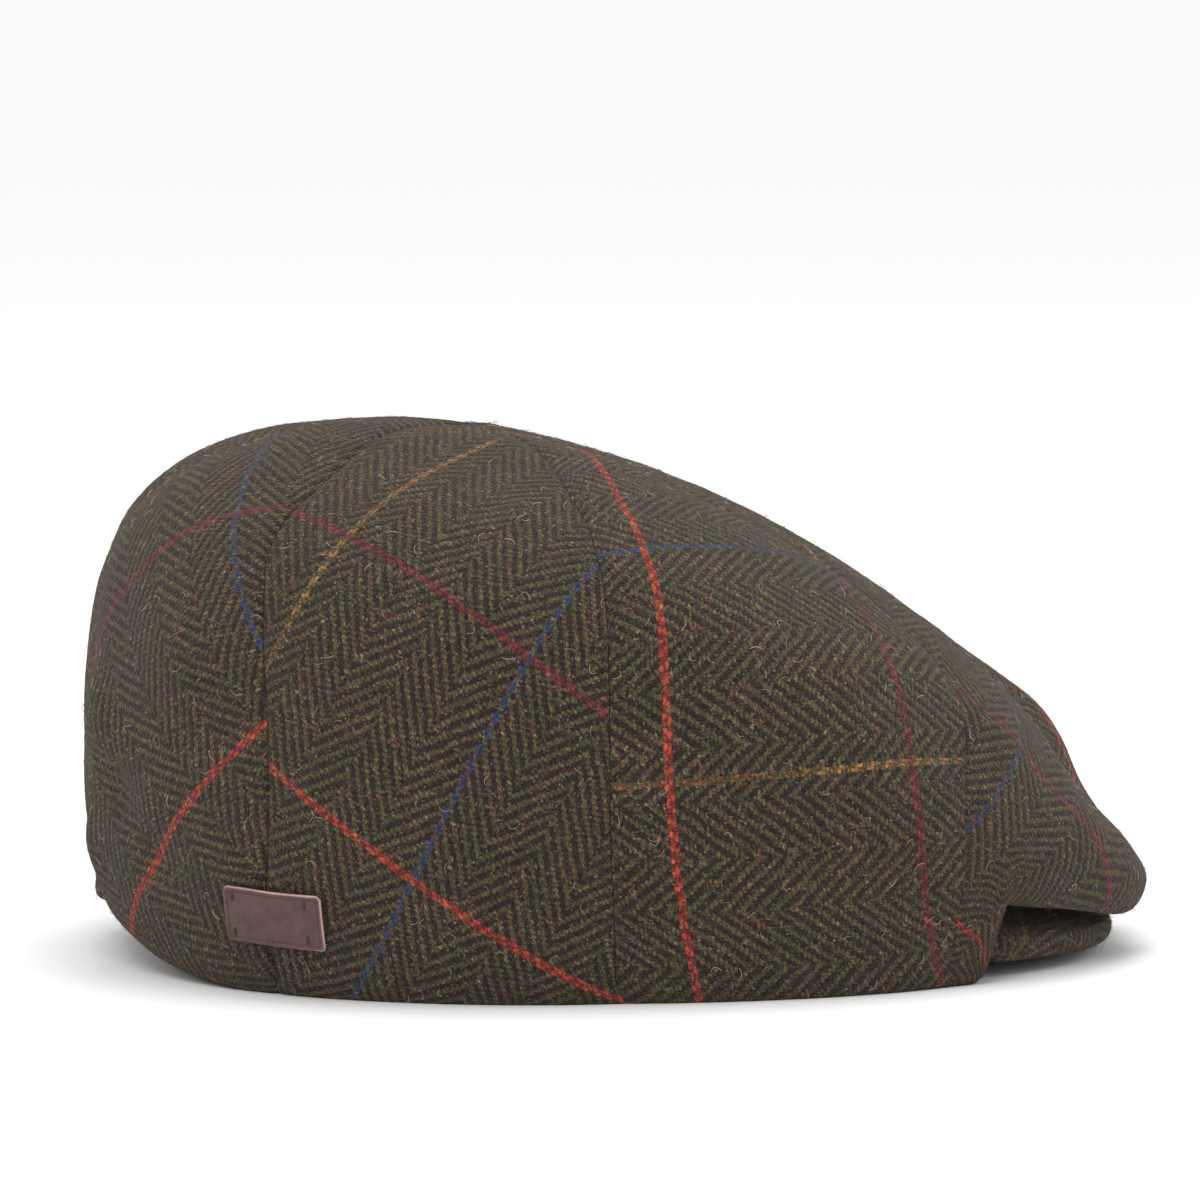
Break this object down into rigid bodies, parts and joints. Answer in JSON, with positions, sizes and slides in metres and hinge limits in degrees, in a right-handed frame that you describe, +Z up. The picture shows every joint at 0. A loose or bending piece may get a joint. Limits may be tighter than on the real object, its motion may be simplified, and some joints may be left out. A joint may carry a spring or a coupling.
{
  "type": "flat cap",
  "caption": "Tweed flat cap of eight gores that roll over a short arched peak, with a plain leather tab on its right side.",
  "frame": {"origin": "middle of the cap's outline seen from above, on the surface that it rests on", "axes": "+X forward towards the peak, +Y to the wearer's left, +Z up"},
  "size_m": [0.2639, 0.2052, 0.1334],
  "materials": {
    "tweed": "brown and olive herringbone wool with a fine overcheck",
    "leather": "smooth reddish brown leather with an embossed border line"
  },
  "bodies": {
    "root": {"gore_front_left": "tweed", "gore_front_right": "tweed", "gore_front_side_left": "tweed", "gore_front_side_right": "tweed", "gore_rear_side_left": "tweed", "gore_rear_side_right": "tweed", "gore_back_left": "tweed", "gore_back_right": "tweed", "peak": "tweed", "leather_tab": "leather"}
  },
  "joints": []
}
